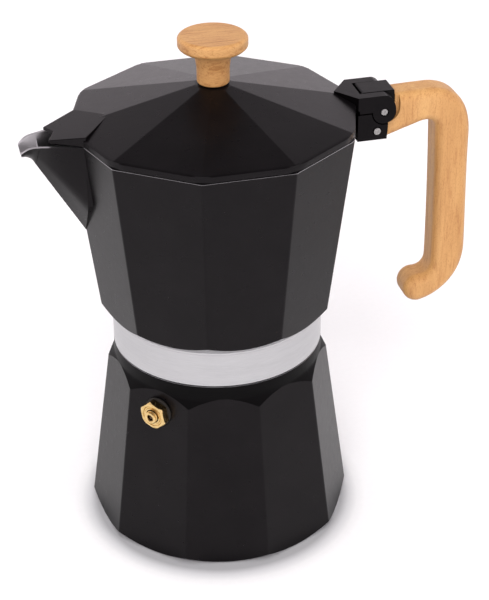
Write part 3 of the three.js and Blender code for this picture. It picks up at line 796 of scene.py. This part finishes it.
def punched(name, radius, low, high, hole, pitch, reach, material, dome=0.0):
    """A disc, raised in its middle by `dome`, with rings of fine holes cut through it."""
    lower = [(0, low + dome), (reach + 1, low + dome, 1), (reach + 2.5, low, 1), (radius, low, 0.1)]
    upper = [(radius, high, 0.1), (reach + 2.5, high, 1), (reach + 1, high + dome, 1), (0, high + dome)]
    plate = lathe(name, softened(lower + upper), material, 128)
    points, faces = [], []
    sides = 12
    for ring in range(int(reach / pitch) + 1):
        for a in full_turn(max(1, 6 * ring)):
            base = len(points)
            x, y = ring * pitch * math.cos(a), ring * pitch * math.sin(a)
            for z in (low - 1, high + dome + 1):
                points += [(x + hole * math.cos(b), y + hole * math.sin(b), z) for b in full_turn(sides)]
            faces += [list(range(base, base + sides)), list(range(base + sides, base + 2 * sides))]
            for k in range(sides):
                after = (k + 1) % sides
                faces.append([base + k, base + after, base + sides + after, base + sides + k])
    return cut(plate, mesh_piece("punches", points, faces, [material]))


def funnel():
    neck, wall = 4.4, 0.8
    top = top_of("funnel_basket")
    outside = [(neck, 53.5, 0.1), (neck + wall, 53.5, 0.1), (neck + wall, 56.9, 1.5), (32.6, 69.4, 2.5)]
    flange = [(32.6, top - 0.8, 0.5), (35.7, top - 0.8, 0.3), (35.7, top, 0.3)]
    inside = [(31.8, top, 0.9), (31.8, 69.6, 0.3), (30.6, 69.6, 0.3), (neck, 57.9, 1)]
    bowl = lathe("funnel_bowl", softened(outside + flange + inside, closed=True), SHEET, 128, loop=True)
    done(bowl, "funnel_basket", "funnel")
    low, high = foot_of("funnel_strainer"), top_of("funnel_strainer")
    sieve = punched("funnel_sieve", 31.5, low, high, 0.75, 3.4, 27.5, SHEET)
    done(sieve, "funnel_strainer", "funnel")
    stem = tube("funnel_stem", 3.3, 4.1, foot_of("funnel_tube"), top_of("funnel_tube"), SHEET, 0.15, 64)
    done(stem, "funnel_tube", "funnel")


def seal():
    low, high = foot_of("gasket"), top_of("gasket")
    done(tube("gasket_ring", 28.6, 35.6, low, high, RUBBER, 0.7, 128), "gasket", "seal")
    base = foot_of("filter_plate")
    plate = punched("filter_disc", 31, base, base + 0.8, 0.6, 2.6, 24.5, SHEET, 1.15)
    done(plate, "filter_plate", "seal")


# ---- collector


def spout_section(station, flank, curl, raised):
    """One cross-section of the spout: down one side from the rim to the keel and up the other."""
    rim_x, half, rim_z, keel_x, keel_z = station
    soft = 0.07
    side = []
    for i in range(13):
        t = i / 12
        y = half * ((1 - curl) * (1 - t) + curl * math.cos(t * math.pi / 2))
        fall = 1 - (math.hypot(1 - t, soft) - soft) / (math.hypot(1, soft) - soft)
        depth = (1 - curl) * fall + curl * math.sin(t * math.pi / 2)
        if flank:
            y, depth = flank_point(t, half, (rim_z, keel_z), *flank)
        side.append((rim_x + (keel_x - rim_x) * depth, y, rim_z + (keel_z - rim_z) * depth))
    if raised:
        side.insert(0, (rim_x, half, raised))
    return side + [(x, -y, z) for x, y, z in reversed(side[:-1])]


def flank_point(t, half, heights, flank_half, flank_height, share):
    """A bent side: down to the flank, then in to the keel, blended with the straight side by `share`."""
    rim_z, keel_z = heights
    bend = (rim_z - flank_height) / (rim_z - keel_z)
    if t < 0.6:
        y, depth = half + (flank_half - half) * t / 0.6, bend * t / 0.6
    else:
        y, depth = flank_half * (1 - (t - 0.6) / 0.4), bend + (1 - bend) * (t - 0.6) / 0.4
    return y * share + half * (1 - t) * (1 - share), depth * share + t * (1 - share)


def through(a, b, c, d, t):
    """A smooth curve from b to c that heads from a and towards d."""
    return 0.5 * (2 * b + (c - a) * t + (2 * a - 5 * b + 4 * c - d) * t * t + (3 * b - a - 3 * c + d) * t**3)


def spout_solid(name, shape, materials):
    """The spout's outside or its hollow, lofted to the lip. The second material is the open top's."""
    raised = shape.get("open")
    inner, root = shape["blade"]
    lip = shape["lip"]
    sections = [spout_section(inner, (*shape["flank"], 1), 0, raised)]
    for i in range(7):
        share = i / 6
        station = [a + (b - a) * share for a, b in zip(root, lip[0])]
        half = station[1] * shape["flank"][0] / root[1]
        drop = (root[2] - shape["flank"][1]) / (root[2] - root[4])
        height = station[2] - drop * (station[2] - station[4])
        sections.append(spout_section(station, (half, height, 1 - share), 0, raised))
    for i in range(len(lip) - 1):
        before, after = lip[max(i - 1, 0)], lip[min(i + 2, len(lip) - 1)]
        for k in range(1, 7):
            t = k / 6
            station = [through(*four, t) for four in zip(before, lip[i], lip[i + 1], after)]
            sections.append(spout_section(station, None, 0.75 * (i + t) / (len(lip) - 1), raised))
    last = len(sections[0]) - 1
    paints = [0, 0] + [int(i == last) for _ in sections[1:] for i in range(last + 1)]
    return stack(name, sections, materials, paints)


def chamber_rows(facets, low, high):
    """Inner wall of the collector between two heights."""
    heights = [low + (high - low) * i / 5 for i in range(6)]
    return [(facets.row(facets.corner(z) - WALL_INSET, z), 2) for z in heights]


def collector():
    facets = Facets(COLLECTOR_TURN, COLLECTOR_CORNER)
    turns = facets.turns()
    paint, bare, cast = range(3)
    root, crest = THREAD["female"]
    seat, ceiling = SEAT["radius"], SEAT["ceiling"]
    bore = [(0, 155.5), (3.6, 154, 1), (4.2, 104, 2), (8.2, 101, 1), (29.3, 99.2, 0.2), (29.3, ceiling, 0.1)]
    bore += [(seat, ceiling, 0.2), (seat, SEAT["bottom"], 0.2), (root, SEAT["bottom"], 0.2), (root, 91.6)]
    rows = [(circle(r, z, turns), bare if z < 99 else cast) for r, z in softened(bore)]
    side, low = SKIRT["radius"], SKIRT["bottom"]
    rows += reversed(thread_rows(turns, root, crest, low + 1, 91.4, bare))
    skirt = [(root, 80.3), (root + 0.5, low, 0.2), (side - 0.3, low, 0.1), (side, low + 0.3, 0.1)]
    skirt += [(side, 93.7, 0.1), (side - 0.12, 93.85, 0.1), (side - 0.12, SKIRT["top"])]
    rows += circles(softened(skirt), turns, bare)
    scallops = facets.meeting(lambda z: side + z - SKIRT["top"], SKIRT["top"], 110)
    rows.append((scallops, bare))
    edge = facets.row(facets.corner(RIM - 0.12), RIM - 0.12)
    rows += [(mixed(scallops, edge, i / 6), paint) for i in range(1, 7)]
    rows.append((facets.row(facets.corner(RIM) - 0.12, RIM), bare))
    rows.append((facets.row(facets.corner(RIM) - 2.8, RIM), bare))
    rows += reversed(chamber_rows(facets, FLOOR + 7, RIM - 0.35))
    for i in range(1, 6):
        a = math.radians(90 * i / 5)
        radius = facets.corner(FLOOR + 7) - WALL_INSET - 7 * (1 - math.cos(a))
        rows.append((facets.row(radius, FLOOR + 7 - 7 * math.sin(a), round_off=4), cast))
    column = [(14, FLOOR), (10, FLOOR, 2), (8.6, FLOOR + 12, 6)]
    column += [(6.6, 155, 1), (5.4, 157, 1), (0, COLUMN_TOP)]
    rows += circles(softened(column), turns, cast)
    body = skin("collector_casting", rows, [PAINT, TURNED, CAST])
    spout = spout_solid("spout", SPOUT_OUTSIDE, [PAINT, TURNED])
    hollow = spout_solid("spout_hollow", SPOUT_HOLLOW, [CAST, CAST])
    lug = bevelled(block("lug", (50, -3.4, 161.9), (64.8, 3.4, 169.4), PAINT), 0.6)
    chamber = [([(0, 0, 106)], 0), *chamber_rows(facets, 106, 180), ([(0, 0, 180)], 0)]
    inner = skin("chamber", chamber, [CAST, CAST, CAST])
    cut(spout, copy_of(inner))
    cut(lug, cross_pin("hole", RIVET, 1.8, 12, PAINT), inner)
    join(body, spout, lug)
    cut(body, hollow, cross_pin("outlets", (0, OUTLET[1]), OUTLET[0], 12, CAST))
    return done(body, "collector", "collector_unit")


def copy_of(piece):
    twin = piece.copy()
    twin.data = piece.data.copy()
    bpy.context.scene.collection.objects.link(twin)
    return twin


# ---- lid and knob


def lid():
    facets = Facets(COLLECTOR_TURN, (LID["corner"], 0, 0), 1.2)
    corner, low, cut_at = LID["corner"], LID["bottom"], LID["cut"]
    outside = [(corner - 0.3, low), (corner, low + 0.3), (corner, 176.1), (56.3, 176.35), (55.9, 176.6)]
    slope = (LID["apex"] - LID["edge"]) / (LID["boss"] - LID["corner"])
    sloping = [(r, LID["edge"] + slope * (r - LID["corner"])) for r in (55.0, 42, 30, 18, 7.6)]
    rows = [(facets.row(r, z, cut_at if r > 55.3 else 1e9), 0) for r, z in outside]
    rows += [(facets.row(r, z, cut_at), 0) for r, z in sloping]
    turns = facets.turns()
    bore = [(6.6, LID["apex"]), (2.3, LID["apex"], 0.2), (2.3, 185.9, 0.2), (9, 185.9)]
    rows += circles(softened(bore), turns, 0)
    inside = [(10, 185.6), (30, 180.4), (51.6, 174.9), (52.4, low + 0.3), (52.7, low)]
    rows += [(facets.row(r, z), 1) for r, z in inside]
    body = skin("lid_casting", rows, [PAINT, CAST], loop=True)
    cut(body, cross_pin("slot", PIN, LID_SWING, 5.2, PAINT, 96))
    join(body, spout_cover(), hinge_plate())
    return done(body, "lid", "lid_unit")


def spout_cover():
    """The raised roof over the spout, with its notched tip."""
    outline = [(-40.1, 0), (-51.2, 13.1), (-64.3, 6.2), (-61.4, 0), (-64.3, -6.2), (-51.2, -13.1)]
    roof = prism("cover", outline, 173, 190, PAINT, plane="XY")
    under = prism("cover_roof", [(-67, 174), (-30, 174), (-30, 182.3), (-67, 174.66)], -20, 20, PAINT)
    return bevelled(common(roof, under), 0.35, 3, 30)


def hinge_plate():
    """The flat plate at the lid's back, and its two ears round the pin."""
    x, z = PIN
    radius = EAR["radius"]
    turn = math.degrees(math.asin((EAR["bottom"] - z) / radius))
    apex, start, outer = EAR["apex"], EAR["start"], EAR["outer"]
    outline = [(apex, LID["bottom"]), (start + 0.6, LID["bottom"]), (start + 0.6, EAR["bottom"])]
    outline += arc(x, z, radius, 180 - turn, 360, 22)
    outline += bezier((x + radius, z), (x + radius, z + 3.8), (x + 2.6, EAR["top"]), (x, EAR["top"]), 10)
    outline.append((apex, EAR["top"]))
    ears = prism("ears", outline, -outer, outer, DULL)
    plan = [(apex, 0), (start, -outer), (80, -outer), (80, outer), (start, outer)]
    common(ears, prism("plan", plan, 160, 190, DULL, plane="XY"))
    slot = block("slot", (x, -EAR["inner"], 160), (80, EAR["inner"], 190), DULL)
    cut(ears, slot, cross_pin("swing", PIN, LID_SWING, EAR["inner"], DULL, 96))
    bevelled(ears, 0.4, 3, 40)
    return cut(ears, cross_pin("bore", PIN, 1.7, 12, DULL, 32))


def knob():
    top, foot = top_of("knob"), foot_of("knob")
    bore = [(0, foot + 11), (2.3, foot + 11), (2.3, foot)]
    neck = [(5.9, foot, 0.3), (6.2, foot + 0.6, 0.5), (6.25, foot + 6, 4), (7.0, foot + 11.5, 3)]
    disc = [(8.2, foot + 13.2, 1.2), (11.9, foot + 13.3, 1.6), (13.24, foot + 14.6, 1.4)]
    disc += [(13.24, top - 1.0, 1.2), (12.2, top, 1.2), (6, top, 2), (0, top - 0.05)]
    piece = lathe("knob_wood_look", softened(bore + neck + disc, steps=6), KNOB_WOOD, 128)
    return done(piece, "knob", "lid_unit")


def machine_screw(name, head, thread, tip, drive):
    """A screw along Z. Its thread is (root, depth, first height, count); its drive, (half width, depth)."""
    root, depth, first, count = thread
    profile = head + [(root + depth * (i % 2), first + 0.35 * i) for i in range(count)] + tip
    screw = lathe(name, softened(profile), STEEL, 48)
    low = head[0][1]
    return cut(screw, block("drive", (-5, -drive[0], low - 1), (5, drive[0], low + drive[1]), STEEL))


def knob_fixings():
    low, high = foot_of("knob_washer"), top_of("knob_washer")
    washer = tube("knob_steel_washer", 2.3, 4.8, low, high, STEEL, 0.2, 64)
    done(washer, "knob_washer", "lid_unit")
    seat, end = low - GAP, top_of("knob_screw")
    head = [(0, seat - 2.2), (3, seat - 2.2, 0.6), (4, seat - 1.2, 0.5), (4, seat, 0.2), (2, seat, 0.1)]
    tip = [(1.3, end - 0.2), (0, end)]
    screw = machine_screw("knob_machine_screw", head, (1.72, 0.28, 186.5, 36), tip, (0.5, 1.0))
    done(screw, "knob_screw", "lid_unit")


# ---- hinge, bracket and handle


def chamfered_pin(name, at, radius, half, material):
    """A round bar along Y with rounded ends."""
    profile = [(0, -half), (radius, -half, 0.35), (radius, half, 0.35), (0, half)]
    bar = lathe(name, softened(profile, steps=5), material, 48)
    place = Matrix.Translation((at[0] * MM, 0, at[1] * MM))
    bar.data.transform(place @ Matrix.Rotation(math.pi / 2, 4, "X"))
    return bar


def hinge_pins():
    pin = chamfered_pin("hinge_steel_pin", PIN, 1.4, 9.4, PIN_STEEL)
    done(pin, "hinge_pin", "collector_unit")
    rivet = chamfered_pin("bracket_steel_rivet", RIVET, 1.5, 9.8, PIN_STEEL)
    done(rivet, "bracket_rivet", "collector_unit")


def handle_bracket():
    """Black casting between the collector's lug and the handle, with a tongue between the lid's ears."""
    deck = EAR["bottom"] - 1.5 * GAP
    side = [(54.4, 161.3), (66.2, 161.3), (66.9, deck), (54.4, deck)]
    body = prism("bracket_casting", side, -EAR["outer"], EAR["outer"], DULL)
    cut(body, cross_pin("relief", PIN, 5.1, 12, DULL, 64))
    bevelled(body, 0.4, 3, 40)
    profile = [(54.7, 161.5), (67, 161.5), (67, 171.5), (70.3, 171.5), (70.3, 179.5, 0.5)]
    profile += [(57.2, 179.5, 0.8), (57.2, 176.7), (54.7, 176.7)]
    core = prism("core", softened(profile, closed=True), -CORE_HALF, CORE_HALF, DULL)
    reach = cross_pin("reach", PIN, LID_SWING - GAP, 10.5, DULL, 96)
    join(reach, block("below", (50, -12, 155), (80, 12, EAR["bottom"] - GAP), DULL))
    bevelled(common(core, reach), 0.35, 2, 40)
    tang = bevelled(block("tang", (66, -3, 167.5), (84, 3, 173), DULL), 0.5, 2)
    join(body, core, tang)
    facets = Facets(COLLECTOR_TURN, COLLECTOR_CORNER, 1.2)
    wall = [(facets.row(facets.corner(h) + 0.42, h), 0) for h in (150, RIM)]
    wall += [(facets.row(LID["corner"] + 0.42, h), 0) for h in (LID["bottom"] - GAP, LID["bottom"] + 1)]
    clear = skin("wall_clear", [([(0, 0, 150)], 0), *wall, ([(0, 0, LID["bottom"] + 1)], 0)], [DULL])
    lug_slot = block("lug_slot", (50, -3.7, 161.6), (65.1, 3.7, 169.7), DULL)
    holes = [cross_pin("pin_hole", PIN, 1.7, 12, DULL), cross_pin("rivet_hole", RIVET, 1.8, 12, DULL)]
    cut(body, clear, lug_slot, *holes, drill("screw_hole", 1.9, 150, 173.5, DULL, HANDLE["screw"]))
    return done(body, "handle_bracket", "collector_unit")


def handle_outline():
    """Side view of the handle: an arm, a bend, a straight grip and a hooked round end."""
    tip_x, tip_z, tip_r = HANDLE["tip"]
    points = [(60, 157.7)] + [(67.2 + 3.2 * i, 160 + 1.025 * i) for i in range(5)]
    points += bezier(points[-1], (84.2, 165.5), (87.6, 165.4), (88, 160.5))
    points += bezier(points[-1], (88.6, 145), (89.2, 122), (89.2, 101), 20)
    points += bezier(points[-1], (89.2, 96.5), (86.8, 95.1), (tip_x, tip_z + tip_r), 10)
    points += arc(tip_x, tip_z, tip_r, 90, 270, 20)[1:]
    points += bezier(points[-1], (92, 84.2), (103.3, 92), (103.3, 107), 22)
    points += bezier(points[-1], (103, 125), (102.2, 142), (102.3, 157), 18)
    points += bezier(points[-1], (102.3, 169.3), (97, 178), (85, 178), 22)
    return points + [(79, 177.9), (73, 177.75), (67.2, 177.6), (60, 177.4)]


def inward(points, distance):
    """The outline moved in by a distance, corner by corner."""
    made = []
    count = len(points)
    for i in range(count):
        before, here, after = (Vector(points[(i + k) % count]) for k in (-1, 0, 1))
        a, b = (here - before).normalized(), (after - here).normalized()
        normal_a, normal_b = Vector((-a.y, a.x)), Vector((-b.y, b.x))
        middle = (normal_a + normal_b).normalized()
        made.append(tuple(here + middle * distance / max(0.6, middle.dot(normal_a))))
    return made


def handle():
    half, edge, steps = HANDLE["half"], HANDLE["rounding"], 8
    outline = handle_outline()
    area = sum(a[0] * b[1] - b[0] * a[1] for a, b in zip(outline, outline[1:] + outline[:1]))
    sign = 1 if area > 0 else -1
    rings = []
    for side in (-1, 1):
        turns = range(steps, -1, -1) if side < 0 else range(steps + 1)
        for i in turns:
            a = math.pi / 2 * i / steps
            loop = inward(outline, sign * edge * (1 - math.cos(a)))
            y = side * (half - edge * (1 - math.sin(a)))
            rings.append([(x, y, z) for x, z in loop])
    body = stack("handle_wood_look", rings, [HANDLE_WOOD])
    start = HANDLE["start"]
    pocket_half = CORE_HALF + GAP
    pocket = block("pocket", (60, -pocket_half, 171.2), (70.6, pocket_half, 182), HANDLE_WOOD)
    swing = EAR["top"] - PIN[1] + GAP
    flanks = cross_pin("flank", (PIN[0] + 1.9, PIN[1]), swing - 1.9, 12, HANDLE_WOOD, 96)
    join(flanks, block("flank_box", (60, -12.5, PIN[1]), (PIN[0] + swing, 12.5, 182), HANDLE_WOOD))
    cut(flanks, block("keep", (start, -CORE_HALF, 150), (90, CORE_HALF, 190), HANDLE_WOOD))
    trim = block("trim", (55, -12, 150), (start, 12, 190), HANDLE_WOOD)
    socket = block("socket", (60, -3.3, 167.2), (84.3, 3.3, 173.3), HANDLE_WOOD)
    screw_way = drill("screw_way", 1.9, 150, 173, HANDLE_WOOD, HANDLE["screw"])
    head_way = drill("head_way", 3.5, 150, 165.3, HANDLE_WOOD, HANDLE["screw"])
    cut(body, pocket, flanks, trim, socket, screw_way, head_way)
    done(body, "handle", "collector_unit", 35, True)
    handle_fixing()


def handle_fixing():
    """The machine screw that goes up through the arm into the bracket's tang."""
    low, seat, end = foot_of("handle_screw"), 165.0, top_of("handle_screw")
    head = [(0, low), (2.6, low, 0.5), (3.2, low + 0.6, 0.3), (3.2, seat, 0.2), (1.6, seat, 0.1)]
    tip = [(1.0, end - 0.3), (0, end)]
    screw = machine_screw("handle_machine_screw", head, (1.34, 0.26, seat + 0.4, 16), tip, (0.4, 0.8))
    screw.data.transform(Matrix.Translation((HANDLE["screw"][0] * MM, 0, 0)))
    done(screw, "handle_screw", "collector_unit")


# ---- studio


HORIZON = 1.5  # brightness of the surround at the horizon
TINT = (1.0, 0.92, 0.965)  # its colour
SKY = [(0.0, 1.0), (0.3, 0.9), (0.62, 0.45), (0.8, 0.14), (1.0, 0.12)]  # sine of elevation, share of it
PAINTED_FOOT_SHADOW = {"middle": (-0.8, -3.2), "inner": 52.0, "outer": 62.5}  # shadow painted into the floor's colour round the foot, not cast by the lamps
PANELS = {  # place in metres, side in metres, power in watts
    "key_panel": ((-0.5, -1.3, 1.5), 1.2, 25),
    "side_panel": ((0.7, -1.2, 1.6), 1.2, 5),
    "top_panel": ((0.0, 0.3, 2.0), 1.6, 13),
}


def floor():
    """A pale paper floor, with a soft shadow painted into its colour close round the foot."""
    mesh = bpy.data.meshes.new("floor")
    side = 6.0
    corners = [(-side, -side, 0), (side, -side, 0), (side, side, 0), (-side, side, 0)]
    mesh.from_pydata(corners, [], [(0, 1, 2, 3)])
    piece = bpy.data.objects.new("floor", mesh)
    bpy.context.scene.collection.objects.link(piece)
    m = Nodes("floor_paper_with_painted_shadow", Metallic=0.0, Roughness=0.9, Specular_IOR_Level=0.1)
    paper = m.ramp(m.noise(m.place, 400, 3), (0.3, (0.96, 0.96, 0.96)), (0.7, (0.98, 0.98, 0.98)))
    parts = m.add("ShaderNodeSeparateXYZ")
    m.link(m.place, parts.inputs[0])
    x, y = (m.maths("SUBTRACT", side, middle * MM) for side, middle in zip(parts.outputs, PAINTED_FOOT_SHADOW["middle"]))
    inner, outer = PAINTED_FOOT_SHADOW["inner"] * MM, PAINTED_FOOT_SHADOW["outer"] * MM
    # painted shadow: the paper's colour darkens from 0.45 at the inner radius to white at the outer
    share = m.maths("DIVIDE", m.maths("SUBTRACT", m.distance(x, y), inner), outer - inner)
    stops = [(0.0, (0.45, 0.45, 0.46)), (0.3, (0.72, 0.72, 0.73)), (0.65, (0.93, 0.93, 0.93))]
    stops.append((1.0, (1, 1, 1)))
    m.set("Base Color", m.blend("MULTIPLY", 1.0, paper, m.ramp(share, *stops)))
    mesh.materials.append(m.material)


def surround():
    """A world that is bright at the horizon and dim overhead."""
    world = bpy.data.worlds.new("surround")
    bpy.context.scene.world = world
    world.use_nodes = True
    tree = world.node_tree
    direction = tree.nodes.new("ShaderNodeSeparateXYZ")
    tree.links.new(tree.nodes.new("ShaderNodeTexCoord").outputs["Generated"], direction.inputs[0])
    height = tree.nodes.new("ShaderNodeValToRGB")
    tree.links.new(direction.outputs["Z"], height.inputs[0])
    while len(height.color_ramp.elements) < len(SKY):
        height.color_ramp.elements.new(0.5)
    for element, (position, level) in zip(height.color_ramp.elements, SKY):
        element.position = position
        element.color = (*(level * tint for tint in TINT), 1)
    background = tree.nodes["Background"]
    tree.links.new(height.outputs[0], background.inputs["Color"])
    background.inputs["Strength"].default_value = HORIZON


def panel(name, place, size, power):
    """A square soft light that faces the pot."""
    light = bpy.data.lights.new(name, "AREA")
    light.size = size
    light.energy = power
    holder = bpy.data.objects.new(name, light)
    bpy.context.scene.collection.objects.link(holder)
    holder.location = place
    holder.rotation_euler = (Vector((0, 0, 0.1)) - Vector(place)).to_track_quat("-Z", "Y").to_euler()
    holder.visible_glossy = False


def camera():
    """A long lens, a little above the pot and to its front left."""
    place = Vector((-0.1360, -0.5743, 0.4448))
    target = Vector((0.0095, -0.0024, 0.09435))
    roll = math.radians(-0.436)
    data = bpy.data.cameras.new("camera")
    data.lens = 102.22
    data.shift_x = 0.00565
    data.shift_y = -0.00315
    data.clip_end = 50
    holder = bpy.data.objects.new("camera", data)
    bpy.context.scene.collection.objects.link(holder)
    holder.location = place
    facing = (target - place).to_track_quat("-Z", "Y")
    holder.rotation_euler = (facing.to_matrix() @ Matrix.Rotation(roll, 3, "Z")).to_euler()
    bpy.context.scene.camera = holder


# ---- assembly

boiler()
valve_body()
valve_small_pieces()
spring, spring_foot = valve_spring()
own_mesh(spring)
funnel()
seal()
collector()
lid()
knob()
knob_fixings()
hinge_pins()
handle_bracket()
handle()
bpy.context.scene.view_settings.view_transform = "Standard"
floor()
surround()
for panel_name, settings in PANELS.items():
    panel(panel_name, *settings)
camera()
